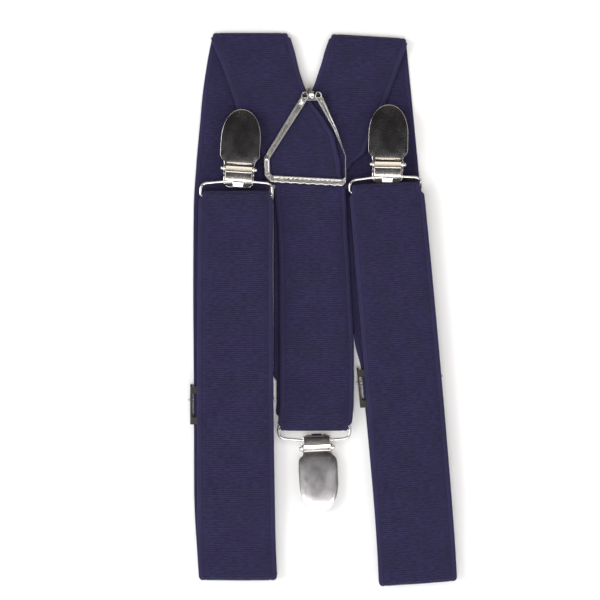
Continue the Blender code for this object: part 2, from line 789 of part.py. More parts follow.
# name: (x, y of its middle, turn about Z)
ADJUSTERS = {"left": (-42.2, -44.2, 0.0), "right": (36.0, -34.8, 5.2)}


def adjuster_frame(name, frame):
    """An open box round both plies: a floor strip, two walls and a second bar over the top."""
    half, wall = SLIDE_HALF, SLIDE_WALL
    near, far = -SLIDE_LEN / 2, SLIDE_LEN / 2
    top = SLIDE_TOP + SLIDE_BAR
    inside = half - wall
    inner = rounded([
        (-inside, SLIDE_FLOOR, 0.3),
        (inside, SLIDE_FLOOR, 0.3),
        (inside, SLIDE_TOP, 0.3),
        (-inside, SLIDE_TOP, 0.3),
    ], steps=2)
    outer = rounded([
        (-half, 0.1, 0.5),
        (half, 0.1, 0.5),
        (half, top, 0.5),
        (-half, top, 0.5),
    ], steps=2)
    bm = bmesh.new()
    ring_prism(
        bm,
        [(p.x, near, p.y) for p in inner],
        [(p.x, near, p.y) for p in outer],
        (0, SLIDE_RING_LEN, 0),
    )
    body = add(name, bm, "nickel", frame)
    side = [(near + 0.4, 0.1), (far, 0.1), (far, top - 0.6), (far - 0.8, top), (near + 0.4, top)]
    for start in (-half, inside):
        join(body, add("wall", across(side, start, wall), "nickel", frame))
    bar_top = top - 0.05
    bar = [
        (far - 4.2, SLIDE_TOP),
        (far - 0.9, SLIDE_TOP),
        (far - 0.9, bar_top),
        (far - 4.2, bar_top),
    ]
    join(body, add("bar", across(bar, 0.2 - half, 2 * half - 0.4), "nickel", frame))
    hole = circle((TRUNNION_Y, TRUNNION_Z), TRUNNION_R + 0.25)
    cutter = add("hole", across(hole, -half - 1.0, 2 * half + 2.0), "nickel", frame)
    join(body, cutter, operation="DIFFERENCE")


def adjuster_lever(name, frame):
    """A plate under the strap that turns on its own trunnions in the walls."""
    reach = SLIDE_HALF + TRUNNION_PROUD
    rod = circle((TRUNNION_Y, TRUNNION_Z), TRUNNION_R, 12)
    pivot = (0.0, TRUNNION_Y, TRUNNION_Z)
    body = add(name, across(rod, -reach, 2 * reach), "nickel", frame, pivot)
    half = SLIDE_HALF - SLIDE_WALL - 0.4
    near = 4.0 - SLIDE_LEN / 2
    plate = rounded([
        (-half, TRUNNION_Y + 0.3, 0.2),
        (-half, near, 1.6),
        (half, near, 1.6),
        (half, TRUNNION_Y + 0.3, 0.2),
    ], steps=3)
    bm = bmesh.new()
    prism(bm, [(p.x, p.y, 0.05) for p in plate], (0, 0, 0.8))
    join(body, add("plate", bm, "nickel", frame, pivot))


def make_adjusters():
    for side, (x, y, turn) in ADJUSTERS.items():
        frame = plan_frame(x, y, 0.0, turn)
        adjuster_frame(f"{side}_adjuster_frame", frame)
        adjuster_lever(f"{side}_adjuster_lever", frame)


clear_scene()
make_webbing()
make_clips()
make_cross()
make_adjusters()
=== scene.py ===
"""Looks of the three-clip Y-back suspenders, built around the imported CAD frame.

Lengths are in millimetres, in the CAD's frame, and become metres when a mesh is made. A clip's own
axes start on its bail's clip bar: v across the clip (local X), u towards its tip (local Y), w up.
"""

import math
from collections import namedtuple

import bmesh
import bpy
import numpy as np
from mathutils import Matrix, Vector


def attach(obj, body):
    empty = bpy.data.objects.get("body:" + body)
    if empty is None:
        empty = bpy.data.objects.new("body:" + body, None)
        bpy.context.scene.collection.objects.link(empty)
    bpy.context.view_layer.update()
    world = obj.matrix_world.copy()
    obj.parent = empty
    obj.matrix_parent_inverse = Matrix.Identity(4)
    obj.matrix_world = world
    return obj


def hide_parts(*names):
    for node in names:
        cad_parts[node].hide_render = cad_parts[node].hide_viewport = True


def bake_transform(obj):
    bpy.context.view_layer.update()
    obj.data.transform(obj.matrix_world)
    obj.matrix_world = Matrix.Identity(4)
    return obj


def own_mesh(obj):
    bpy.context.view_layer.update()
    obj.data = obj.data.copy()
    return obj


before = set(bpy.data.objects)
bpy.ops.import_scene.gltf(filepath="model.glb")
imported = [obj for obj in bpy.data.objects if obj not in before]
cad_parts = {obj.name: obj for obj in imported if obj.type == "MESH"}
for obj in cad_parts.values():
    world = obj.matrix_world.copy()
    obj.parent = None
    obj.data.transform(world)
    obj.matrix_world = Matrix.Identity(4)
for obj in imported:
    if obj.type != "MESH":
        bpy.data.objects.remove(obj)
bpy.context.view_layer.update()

MM = 0.001

# ---------------------------------------------------------------- camera, floor and lights

VIEW_CENTRE = (-10.5, 4.4)
VIEW_WIDTH = 280.0
CAMERA_HEIGHT = 1500.0
SENSOR = 36.0


def make_camera():
    data = bpy.data.cameras.new("camera")
    data.sensor_width = SENSOR
    data.lens = SENSOR * CAMERA_HEIGHT / VIEW_WIDTH
    data.clip_start = 0.01
    data.clip_end = 20.0
    camera = bpy.data.objects.new("camera", data)
    bpy.context.scene.collection.objects.link(camera)
    camera.location = Vector((*VIEW_CENTRE, CAMERA_HEIGHT)) * MM
    bpy.context.scene.camera = camera


def area_light(name, place, target, size, power, colour=(1.0, 1.0, 1.0)):
    """A rectangular softbox at place, facing target. Places and sizes are in millimetres."""
    data = bpy.data.lights.new(name, "AREA")
    data.shape = "RECTANGLE"
    data.size, data.size_y = size[0] * MM, size[1] * MM
    data.energy = power
    data.color = colour
    light = bpy.data.objects.new(name, data)
    bpy.context.scene.collection.objects.link(light)
    light.location = Vector(place) * MM
    aim = Vector(target) - Vector(place)
    light.rotation_euler = aim.to_track_quat("-Z", "Y").to_euler()


def make_lights():
    world = bpy.data.worlds.new("studio")
    bpy.context.scene.world = world
    world.use_nodes = True
    background = world.node_tree.nodes["Background"]
    background.inputs["Color"].default_value = (0.84, 0.82, 0.86, 1.0)
    background.inputs["Strength"].default_value = 0.02
    middle = (0.0, 0.0, 0.0)
    area_light("left_softbox", (-1500, 100, 1100), middle, (1300, 1500), 29.5)
    area_light("right_softbox", (1700, 0, 1300), middle, (2200, 2000), 20.5)
    area_light("near_softbox", (0, -1700, 1300), middle, (2400, 1400), 26.0)
    area_light("far_softbox", (0, 1200, 1500), middle, (2400, 900), 11.5, (1.0, 0.92, 0.78))
    # Two cards overhead that the back clip's cover mirrors: a dim one and a bright one
    area_light("dim_card", (-20, -172, 1480), (-20, -172, 0), (800, 255), 0.20)
    area_light("bright_card", (-20, -500, 1480), (-20, -500, 0), (700, 400), 6.6)


def make_floor():
    bm = bmesh.new()
    bmesh.ops.create_grid(bm, x_segments=1, y_segments=1, size=2.0)
    mesh = bpy.data.meshes.new("floor")
    bm.to_mesh(mesh)
    bm.free()
    floor = bpy.data.objects.new("floor", mesh)
    bpy.context.scene.collection.objects.link(floor)
    floor.location.z = -0.05 * MM
    _, shader, look = new_material("studio_floor")
    shader.inputs["Base Color"].default_value = (0.93, 0.93, 0.945, 1.0)
    shader.inputs["Roughness"].default_value = 0.9
    shader.inputs["Specular IOR Level"].default_value = 0.1
    mesh.materials.append(look)


# ---------------------------------------------------------------- node helpers


def new_material(name):
    look = bpy.data.materials.new(name)
    look.use_nodes = True
    tree = look.node_tree
    return tree, tree.nodes["Principled BSDF"], look


def node(tree, kind, inputs=None, **settings):
    """A new node. A socket among the inputs is linked, and any other value is set."""
    made = tree.nodes.new(kind)
    for key, value in settings.items():
        setattr(made, key, value)
    for key, value in (inputs or {}).items():
        if isinstance(value, bpy.types.NodeSocket):
            tree.links.new(value, made.inputs[key])
        else:
            made.inputs[key].default_value = value
    return made


def calc(tree, operation, *values):
    inputs = dict(enumerate(values))
    return node(tree, "ShaderNodeMath", inputs, operation=operation).outputs[0]


def wave(tree, distance, pitch, phase=0.0):
    """A sine of the distance, from -1 to 1, that repeats each pitch."""
    turns = calc(tree, "MULTIPLY", distance, 2 * math.pi / pitch)
    return calc(tree, "SINE", calc(tree, "ADD", turns, phase))


def weighted(tree, first, first_weight, second, second_weight):
    """The sum of two values, each times its weight."""
    return calc(tree, "ADD", calc(tree, "MULTIPLY", first, first_weight),
                calc(tree, "MULTIPLY", second, second_weight))


def swing(tree, value, size):
    """A noise value moved to swing about zero."""
    return calc(tree, "MULTIPLY", calc(tree, "SUBTRACT", value, 0.5), size)


def ramp(tree, value, low, high, to_low=0.0, to_high=1.0):
    """A smooth step of the value between low and high."""
    inputs = {"Value": value, "From Min": low, "From Max": high}
    inputs.update({"To Min": to_low, "To Max": to_high})
    made = node(tree, "ShaderNodeMapRange", inputs, interpolation_type="SMOOTHSTEP")
    return made.outputs["Result"]


def stretched(tree, vector, factors):
    inputs = {0: vector, 1: factors}
    return node(tree, "ShaderNodeVectorMath", inputs, operation="MULTIPLY").outputs[0]


def noise(tree, vector, scale, detail=2.0, roughness=0.5):
    inputs = {"Vector": vector, "Scale": scale, "Detail": detail, "Roughness": roughness}
    return node(tree, "ShaderNodeTexNoise", inputs).outputs["Fac"]


def mix_colour(tree, share, first, second):
    """A mix of two colours by a linked share. Each colour is a socket or three numbers."""
    made = node(tree, "ShaderNodeMix", data_type="RGBA")
    tree.links.new(share, made.inputs["Factor"])
    for key, value in (("A", first), ("B", second)):
        socket = next(s for s in made.inputs if s.name == key and s.type == "RGBA")
        if isinstance(value, bpy.types.NodeSocket):
            tree.links.new(value, socket)
        else:
            socket.default_value = (*value, 1.0)
    return next(s for s in made.outputs if s.type == "RGBA")


def attribute(tree, name):
    return node(tree, "ShaderNodeAttribute", attribute_name=name).outputs["Fac"]


def add_bump(tree, shader, height, strength, depth):
    inputs = {"Strength": strength, "Distance": depth * MM, "Height": height}
    bump = node(tree, "ShaderNodeBump", inputs)
    tree.links.new(bump.outputs[0], shader.inputs["Normal"])


# ---------------------------------------------------------------- materials

# The weave, in millimetres: the body's weft ribs and warp lines, then the smooth edge's width and
# its own lines and picks
RIB_PITCH = 0.96
WARP_PITCH = 0.62
SELVAGE = 2.3
SELVAGE_LINE_PITCH = 0.74
SELVAGE_PICK_PITCH = 0.7
# The weave's navy in painted shade and in painted highlight, for its low and high places, then the
# smooth edge's own tone
WEBBING_SHADED = (0.0080, 0.0063, 0.0267)
WEBBING_LIT = (0.0221, 0.0183, 0.0670)
WEBBING_EDGE = (0.0237, 0.0195, 0.0670)


def weave_height(tree, flat, across, along, edge, body):
    """How high the weave stands, about zero: ribs on the body and finer lines on the edges."""
    dash_place = stretched(tree, flat, (0.30, 1.0 / RIB_PITCH, 1.0))
    dashes = swing(tree, noise(tree, dash_place, 1.25), 2.1)
    grain = swing(tree, noise(tree, flat, 2.6, 2.0, 0.6), 0.9)
    wobble = swing(tree, noise(tree, flat, 0.35), 5.0)
    rib = wave(tree, along, RIB_PITCH, wobble)
    warp = wave(tree, across, WARP_PITCH)
    ribbed = weighted(tree, rib, 0.34, warp, 0.16)
    ribbed = calc(tree, "ADD", ribbed, calc(tree, "ADD", dashes, grain))
    lines = wave(tree, edge, SELVAGE_LINE_PITCH)
    picks = wave(tree, along, SELVAGE_PICK_PITCH)
    woven = weighted(tree, lines, 0.42, picks, 0.12)
    woven = calc(tree, "ADD", woven, calc(tree, "MULTIPLY", grain, 0.6))
    return node(tree, "ShaderNodeMix", {"Factor": body, 2: woven, 3: ribbed}).outputs[0]


def webbing_material(name):
    """Ribbed elastic webbing: weft ribs across, fine warp lines along, and smooth woven edges. Its
    colour carries painted shade in the weave's low places and in the groove beside each smooth
    edge, and painted highlight on the weave's high places.

    The meshes carry where each point lies on the band, in millimetres, as web_across, web_along
    and web_edge, the distance to the nearer edge.
    """
    tree, shader, look = new_material(name)
    across = attribute(tree, "web_across")
    along = attribute(tree, "web_along")
    edge = attribute(tree, "web_edge")
    flat = node(tree, "ShaderNodeCombineXYZ", {"X": across, "Y": along}).outputs[0]
    body = ramp(tree, edge, SELVAGE - 0.1, SELVAGE + 0.5)
    height = weave_height(tree, flat, across, along, edge, body)

    # Painted shade and highlight: the colour goes from the shaded navy in the weave's low places to
    # the lit navy on its high places
    shade = ramp(tree, height, -1.0, 1.0)
    cloth = mix_colour(tree, shade, WEBBING_SHADED, WEBBING_LIT)
    edge_share = calc(tree, "MULTIPLY", calc(tree, "SUBTRACT", 1.0, body), 0.55)
    cloth = mix_colour(tree, edge_share, cloth, WEBBING_EDGE)
    # Painted shade in the groove between each smooth edge and the ribbed body, multiplied with the
    # webbing's own slow mottle
    from_seam = calc(tree, "ABSOLUTE", calc(tree, "SUBTRACT", edge, SELVAGE))
    painted_groove_shade = ramp(tree, from_seam, 0.0, 0.45, 0.62, 1.0)
    slow = noise(tree, flat, 0.09, 3.0)
    mottle_and_groove_shade = calc(tree, "MULTIPLY", ramp(tree, slow, 0.25, 0.75, 0.90, 1.12), painted_groove_shade)
    toned = node(tree, "ShaderNodeVectorMath", {0: cloth, "Scale": mottle_and_groove_shade}, operation="SCALE")
    tree.links.new(toned.outputs[0], shader.inputs["Base Color"])
    tree.links.new(ramp(tree, shade, 0.0, 1.0, 0.95, 0.80), shader.inputs["Roughness"])
    shader.inputs["Specular IOR Level"].default_value = 0.25
    shader.inputs["Sheen Weight"].default_value = 0.08
    shader.inputs["Sheen Roughness"].default_value = 0.5
    add_bump(tree, shader, height, 0.9, 0.13)
    return look


def metal_material(name, colour, roughness, speckle=0.0, tarnish=0.06):
    """Plated steel with faint handling scratches, patchy gloss and, with speckle, a cast grain."""
    tree, shader, look = new_material(name)
    place = node(tree, "ShaderNodeTexCoord").outputs["Object"]
    patches = noise(tree, place, 160.0, 3.0)
    scratches = noise(tree, stretched(tree, place, (2600.0, 300.0, 2600.0)), 1.0, 2.0, 0.6)
    grain = noise(tree, place, 1900.0, 2.0, 0.7)
    worn = tuple(c * (1 - tarnish) for c in colour)
    toned = mix_colour(tree, ramp(tree, patches, 0.3, 0.7), worn, colour)
    if speckle:
        dull = tuple(c * (1 - speckle) for c in colour)
        toned = mix_colour(tree, ramp(tree, grain, 0.42, 0.62), dull, toned)
    tree.links.new(toned, shader.inputs["Base Color"])
    shader.inputs["Metallic"].default_value = 1.0
    gloss = ramp(tree, patches, 0.25, 0.75, roughness * 0.88, roughness * 1.12)
    tree.links.new(gloss, shader.inputs["Roughness"])
    fine = weighted(tree, scratches, 0.4, patches, 0.1)
    fine = calc(tree, "ADD", fine, calc(tree, "MULTIPLY", grain, speckle * 2.0))
    add_bump(tree, shader, fine, 0.15, 0.02)
    return look


def nylon_material():
    tree, shader, look = new_material("black_nylon_moulded")
    place = node(tree, "ShaderNodeTexCoord").outputs["Object"]
    grain = noise(tree, place, 1400.0, 3.0, 0.6)
    toned = mix_colour(tree, grain, (0.012, 0.012, 0.014), (0.035, 0.035, 0.038))
    tree.links.new(toned, shader.inputs["Base Color"])
    tree.links.new(ramp(tree, grain, 0.3, 0.7, 0.48, 0.66), shader.inputs["Roughness"])
    add_bump(tree, shader, grain, 0.4, 0.04)
    return look


LOOKS = {
    "navy_webbing": webbing_material("navy_webbing_weave"),
    "nickel": metal_material("nickel_bright", (0.70, 0.665, 0.645), 0.17),
    "frame_nickel": metal_material("nickel_cast", (0.56, 0.54, 0.53), 0.30, speckle=0.25),
    "cover_nickel": metal_material("nickel_cover", (0.54, 0.515, 0.52), 0.16, tarnish=0.22),
    # Near-black metal: the adjuster frames' dark tone, and painted shadow on the cross's hinge rod
    # inside its eyes
    "dark_nickel": metal_material("dark_metal_and_painted_shadow", (0.060, 0.055, 0.055), 0.42, tarnish=0.2),
    "black_nylon": nylon_material(),
}


# ---------------------------------------------------------------- mesh helpers


TURN_STEPS = 20
LINE_STEPS = 12


def plan_frame(x, y, z, degrees):
    """The placement at a point, turned in plan."""
    return Matrix.Translation(Vector((x, y, z))) @ Matrix.Rotation(math.radians(degrees), 4, "Z")


def piece(name, shapes, look, place=None, sharp=38.0):
    """One object from one or several bmeshes in millimetres."""
    mesh = bpy.data.meshes.new(name)
    whole = bmesh.new()
    for shape in shapes:
        bmesh.ops.recalc_face_normals(shape, faces=shape.faces)
        part = bpy.data.meshes.new("part")
        shape.to_mesh(part)
        shape.free()
        whole.from_mesh(part)
        bpy.data.meshes.remove(part)
    bmesh.ops.scale(whole, verts=whole.verts, vec=(MM, MM, MM))
    whole.to_mesh(mesh)
    whole.free()
    mesh.materials.append(LOOKS[look])
    mesh.shade_smooth()
    mesh.set_sharp_from_angle(angle=math.radians(sharp))
    obj = bpy.data.objects.new(name, mesh)
    bpy.context.scene.collection.objects.link(obj)
    if place is not None:
        placed = place.copy()
        placed.translation = placed.translation * MM
        obj.matrix_world = placed
    return obj


def skin(bm, first, second):
    """Faces between two closed rows of vertices."""
    count = len(first)
    for i in range(count):
        j = (i + 1) % count
        bm.faces.new((first[i], first[j], second[j], second[i]))


def prism(loop, offset, bevel, segments=2):
    """A closed prism with its sharp edges rounded."""
    bm = bmesh.new()
    low = [bm.verts.new(Vector(p)) for p in loop]
    high = [bm.verts.new(Vector(p) + Vector(offset)) for p in loop]
    bm.faces.new(low[::-1])
    bm.faces.new(high)
    skin(bm, low, high)
    bm.normal_update()
    edges = [e for e in bm.edges if e.calc_face_angle(0.0) > math.radians(50)]
    bmesh.ops.bevel(bm, geom=edges, offset=bevel, segments=segments, profile=0.5,
                    affect="EDGES", clamp_overlap=True)
    return bm


def loft(rings, closed_loop=False):
    """A skin over rings that have the same number of points, closed to a loop or at both ends."""
    bm = bmesh.new()
    rows = [[bm.verts.new(Vector(p)) for p in ring] for ring in rings]
    for first, second in zip(rows, rows[1:]):
        skin(bm, first, second)
    if closed_loop:
        skin(bm, rows[-1], rows[0])
    else:
        bm.faces.new(rows[0][::-1])
        bm.faces.new(rows[-1])
    return bm


def rounded(corners, steps, straight):
    """A polygon's outline with rounded corners (x, y, radius), and points along its straights."""
    points = []
    count = len(corners)
    arcs = []
    for i, (x, y, radius) in enumerate(corners):
        here = Vector((x, y))
        before = Vector(corners[i - 1][:2]) - here
        after = Vector(corners[(i + 1) % count][:2]) - here
        reach = radius / math.tan(before.angle(after) / 2)
        start = here + before.normalized() * reach
        end = here + after.normalized() * reach
        curve = []
        for k in range(steps + 1):
            t = k / steps
            curve.append(start * (1 - t) ** 2 + here * 2 * t * (1 - t) + end * t * t)
        arcs.append(curve)
    for i, curve in enumerate(arcs):
        points += curve
        following = arcs[(i + 1) % count][0]
        for k in range(1, straight + 1):
            points.append(curve[-1].lerp(following, k / (straight + 1)))
    return points


def smooth_line(knots):
    """Points on a cubic curve through the knots, which never swings past a knot's value."""
    knots = np.array(knots, float)
    rises = np.diff(knots, axis=0)
    before, after = rises[:-1], rises[1:]
    total = before + after
    same_way = before * after > 0
    slopes = np.zeros_like(knots)
    slopes[0], slopes[-1] = rises[0], rises[-1]
    slopes[1:-1] = np.where(same_way, 2 * before * after / np.where(same_way, total, 1.0), 0.0)
    points = []
    for i, rise in enumerate(rises):
        for k in range(LINE_STEPS):
            t = k / LINE_STEPS
            ease = t * t * (3 - 2 * t)
            lead = t * (1 - t) ** 2
            trail = -t * t * (1 - t)
            points.append(knots[i] + ease * rise + lead * slopes[i] + trail * slopes[i + 1])
    points.append(knots[-1])
    return [tuple(float(c) for c in p) for p in points]


def half_turn(x, y, z, radius, start, end, width, tilt, pinch):
    """Route points round a fold: an arc in the upright plane that is square to its cross lines.

    The band narrows by the pinch where the fold reaches furthest, which rounds its corners.
    """
    lean = math.radians(tilt)
    points = []
    for k in range(TURN_STEPS + 1):
        angle = math.radians(start + (end - start) * k / TURN_STEPS)
        forward = radius * math.cos(angle)
        narrow = pinch * abs(math.cos(angle)) ** 4
        points.append((x - forward * math.sin(lean), y + forward * math.cos(lean),
                       z + radius * math.sin(angle), width - narrow, tilt))
    return points


# ---------------------------------------------------------------- webbing

WEB_W = 35.0
WEB_T = 1.2
LEG_TOP_W = 34.6
FOLD_W = 36.4
BACK_W = 34.0
PLY = WEB_T + 0.3
# A band's points lie a ribbon step apart, and a bend step beside turns of more than a sharp bend,
# which is in degrees
RIBBON_STEP = 1.4
BEND_STEP = 0.3
SHARP_BEND = 4.0
FOLD_Z = 2.9
OUTER_FOLD_R = 2.3
INNER_FOLD_R = 0.8
FOLD_PINCH = 1.8
LINING_PINCH = 0.4
RETURN_KNOTS = 4
RETURN_END_Y = {"left": -37.0, "right": -28.0}
LEFT_FOLD = (-39.4, -123.3)
RIGHT_FOLD = (44.3, -124.9)
RIGHT_FOLD_TILT = 4.2
TOP_R = 1.6
TOP_Z = WEB_T / 2 + TOP_R
TOP_PINCH = 1.0
LEFT_TOP = (-33.6, 126.7)
RIGHT_TOP = (21.4, 125.2)
WIRE_R = 0.65
LOOP_R = WIRE_R + 0.3 + WEB_T / 2
LOOP_W = 31.6
NECK_W = LOOP_W + 0.8
LOOP_PINCH = 0.8
NECK_LENGTH = 1.1
LEFT_LEG_BOW = -0.9
RIGHT_LEG_BOW = 0.85
# The middles of a front leg's two plies: (share of the way up, lower ply, upper ply), and how far
# short of the neck, as a share, they have come to the loop's two sides
LEG_LEVELS = [
    (0.0, 3.7, 5.2), (0.07, 3.7, 5.2), (0.22, 6.0, 7.5), (0.5, 6.0, 7.5), (0.8, 6.0, 7.5),
    (0.93, 5.5, 7.7),
]
NECK_LEADS = (0.03, 0.007)

# Each knot is (x, y, z of the middle of the ply, width, tilt of the cross lines).
LEFT_RISE = [
    (*LEFT_FOLD, 0.6, FOLD_W, 0.0),
    (-40.6, -112.0, 0.6, 35.6, 0.0),
    (-42.3, -84.0, 2.1, WEB_W, 0.0),
    (-42.4, -50.0, 2.1, WEB_W, 0.0),
    (-42.5, -32.0, 2.1, WEB_W, 0.0),
    (-42.7, -10.0, 1.7, WEB_W, 0.0),
    (-42.8, 10.0, 1.7, WEB_W, 0.0),
    (-42.6, 45.0, 1.7, WEB_W, 0.0),
    (-41.4, 66.0, 1.7, WEB_W, 0.0),
    (-39.8, 84.0, 1.7, WEB_W, 0.0),
    (-38.4, 99.0, 1.5, WEB_W, 0.0),
    (-36.0, 115.0, 0.7, WEB_W, 0.0),
    (*LEFT_TOP, 0.6, WEB_W, 0.0),
]
LEFT_DIAGONAL = [
    (*LEFT_TOP, 3.8, WEB_W, 0.0),
    (-30.5, 118.0, 3.65, 34.2, 0.0),
    (-26.9, 107.0, 3.6, 32.8, 0.0),
    (-22.4, 95.5, 3.6, 32.4, -1.0),
    (-16.8, 86.0, 3.6, 32.8, -2.0),
    (-12.4, 78.0, 3.6, 33.4, -3.0),
    (-9.6, 69.0, 3.6, 34.0, -3.0),
    (-8.2, 62.0, 3.6, 32.8, -3.0),
    (-6.4, 58.3, 3.6, 32.4, -3.0),
]
RIGHT_RISE = [
    (*RIGHT_FOLD, 0.6, FOLD_W, RIGHT_FOLD_TILT),
    (43.3, -112.0, 0.6, 35.6, 4.5),
    (40.95, -84.0, 2.1, WEB_W, 5.2),
    (37.86, -50.0, 2.1, WEB_W, 5.2),
    (35.4, -26.0, 2.1, WEB_W, 5.2),
    (31.9, -10.0, 0.7, WEB_W, 4.5),
    (30.3, 10.0, 0.6, WEB_W, 3.5),
    (28.4, 50.0, 0.6, WEB_W, 1.0),
    (25.6, 82.0, 0.6, WEB_W, -1.0),
    (23.0, 108.0, 0.6, WEB_W, -2.5),
    (*RIGHT_TOP, 0.6, WEB_W, -3.5),
]
RIGHT_DIAGONAL = [
    (*RIGHT_TOP, 3.8, WEB_W, -3.5),
    (18.8, 118.0, 3.2, WEB_W, -3.0),
    (16.4, 110.5, 2.3, 34.6, -2.0),
    (13.5, 102.6, 2.1, 33.8, -1.0),
    (10.6, 96.0, 2.1, 34.0, 0.0),
    (6.0, 86.0, 2.1, WEB_W, 0.0),
    (1.0, 76.0, 2.1, 34.2, 0.0),
    (-3.4, 69.0, 2.1, 33.0, 0.0),
    (-5.0, 63.0, 2.1, 31.2, 0.0),
    (-5.6, 57.5, 2.1, 30.5, 0.0),
]
# The back strap's top ply, from the cross down to its bail
BACK_TOP = [
    (-5.8, 57.2, 3.6, 32.8, -3.0),
    (-5.7, 54.5, 3.55, 32.8, -3.0),
    (-5.2, 48.0, 3.0, 32.6, -2.0),
    (-4.5, 36.0, 2.2, 32.1, -1.0),
    (-3.8, 23.0, 2.1, 32.6, 0.0),
    (-3.3, 4.0, 2.1, 33.4, 0.0),
    (-2.6, -20.0, 2.1, 34.5, 0.0),
    (-2.6, -42.0, 2.6, 34.3, 0.0),
    (-3.1, -49.5, 3.85, BACK_W, 0.0),
    (-3.7, -53.1, 3.85, BACK_W, 0.0),
]
BACK_UNDER = [
    (-3.7, -53.1, 0.75, BACK_W, 0.0),
    (-3.5, -50.3, 0.6, BACK_W, 0.0),
    (-4.95, -44.0, 0.6, 33.0, 0.0),
    (-4.95, -34.0, 0.6, 33.0, 0.0),
    (-6.15, -27.0, 0.6, 33.4, 0.0),
    (-6.15, 20.0, 0.6, 33.4, 0.0),
    (-6.15, 56.4, 0.6, 33.4, 0.0),
]
CROSS_SEAM_Y = 60.0

# Half of the band's cross-section: (distance from the edge, half thickness), edge first
SECTION = [
    (0.0, 0.10), (0.10, 0.30), (0.35, 0.45), (0.8, 0.52), (1.5, 0.53), (2.0, 0.47),
    (2.3, 0.38), (2.6, 0.48), (3.0, 0.57), (4.5, 0.60), (8.0, 0.60), (12.5, 0.60),
]


def band_section(width):
    """The closed cross-section of a band: (place across, height, distance from the edge)."""
    half = width / 2
    stretch = half / (WEB_W / 2)
    side = [(d * stretch, h) for d, h in SECTION] + [(half, WEB_T / 2)]
    top = [(-half + d, h, d) for d, h in side]
    top += [(half - d, h, d) for d, h in side[-2::-1]]
    return top + [(v, -h, d) for v, h, d in reversed(top)]


def ripple(length, across, edge):
    """How uneven the upper face is, less so near the edges."""
    height = 0.05 * math.sin(length / 7.3 + across / 5.1)
    height += 0.04 * math.sin(length / 3.1 - across / 3.7)
    return height * min(1.0, edge / 4.0)


def ribbon(name, route, start_length=0.0):
    """A band of webbing along a route, with its place on the band stored for the material.

    The start length is where on the weave it starts, so that two bands don't look alike.
    """
    centres, facts = resample(route)
    bm = bmesh.new()
    keys = ("web_across", "web_along", "web_edge")
    layers = [bm.verts.layers.float.new(key) for key in keys]
    rows = []
    length = start_length
    for i, centre in enumerate(centres):
        if i:
            length += (centre - centres[i - 1]).length
        width, tilt = facts[i]
        tangent = (centres[min(i + 1, len(centres) - 1)] - centres[max(i - 1, 0)]).normalized()
        across = Vector((math.cos(math.radians(tilt)), math.sin(math.radians(tilt)), 0))
        normal = across.cross(tangent).normalized()
        # A slanting cross line is longer, so that the band keeps its width
        flat = math.hypot(tangent.x, tangent.y)
        slant = 1.0
        if flat > 0.5:
            slant = abs(across.x * tangent.y - across.y * tangent.x) / flat
        row = []
        for v, h, d in band_section(width):
            height = h + ripple(length, v, d) if h > 0 else h
            vert = bm.verts.new(centre + across * (v / slant) + normal * height)
            for layer, value in zip(layers, (v, length, d)):
                vert[layer] = value
            row.append(vert)
        rows.append(row)
    count = len(rows[0])
    for first, second in zip(rows, rows[1:]):
        for k in range(count):
            m = (k + 1) % count
            bm.faces.new((first[k], second[k], second[m], first[m]))
    bm.faces.new(rows[0])
    bm.faces.new(rows[-1][::-1])
    obj = piece(name, [bm], "navy_webbing", sharp=60.0)
    return obj, (length - start_length) * MM


def resample(route):
    """Points along a route, closer together at its bends, and its width and tilt there."""
    table = np.array(route, float)
    gaps = np.linalg.norm(np.diff(table[:, :3], axis=0), axis=1)
    lengths = np.concatenate([[0.0], np.cumsum(gaps)])
    keep = np.concatenate([[True], gaps > 1e-6])
    table, lengths = table[keep], lengths[keep]
    stations = [0.0]
    bend = bend_at(table)
    while stations[-1] < lengths[-1] - 1e-6:
        near = int(np.searchsorted(lengths, stations[-1], side="right")) - 1
        near = min(near, len(bend) - 1)
        pace = BEND_STEP if bend[near] else RIBBON_STEP
        stations.append(min(stations[-1] + pace, lengths[-1]))
    if len(stations) > 2 and stations[-1] - stations[-2] < 0.1:
        stations.pop(-2)
    values = [np.interp(stations, lengths, table[:, c]) for c in range(5)]
    centres = [Vector((x, y, z)) for x, y, z in zip(*values[:3])]
    return centres, list(zip(values[3], values[4]))


def bend_at(table):
    """Whether the route turns sharply at or beside each of its points."""
    steps = np.diff(table[:, :3], axis=0)
    steps = steps / np.linalg.norm(steps, axis=1)[:, None]
    turns = np.degrees(np.arccos(np.clip((steps[:-1] * steps[1:]).sum(axis=1), -1, 1)))
    sharp = np.zeros(len(table), bool)
    for i, turn in enumerate(turns):
        if turn > SHARP_BEND:
            sharp[i : i + 3] = True
    return sharp


def shoulder_strap(side, rise, diagonal):
    """A shoulder strap from its lower fold, under its front leg, over the top and to the cross."""
    x, y = rise[-1][:2]
    tilt = rise[-1][4]
    route = smooth_line(rise)
    route += half_turn(x, y, TOP_Z, TOP_R, -90, 90, WEB_W, tilt, TOP_PINCH)[1:-1]
    route += diagonal
    obj, length = ribbon(f"{side}_strap_webbing", route)
    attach(obj, "shoulder_straps")
    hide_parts(f"{side}_shoulder_strap")


def return_ply(side, rise):
    """The ply on top of the strap's lower end, built at one length; the real ply shortens as the
    adjuster slides down.
    """
    knots = [(x, y, z + PLY, width, tilt) for x, y, z, width, tilt in rise[:RETURN_KNOTS]]
    last, following = rise[RETURN_KNOTS - 1 : RETURN_KNOTS + 1]
    share = (RETURN_END_Y[side] - last[1]) / (following[1] - last[1])
    end = [a + (b - a) * share for a, b in zip(last, following)]
    route = smooth_line(knots) + [(end[0], end[1], knots[-1][2], WEB_W, knots[-1][4])]
    obj, length = ribbon(f"{side}_return_webbing", route, start_length=40.0)
    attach(obj, "shoulder_straps")
    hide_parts(f"{side}_return_ply")
    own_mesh(obj)


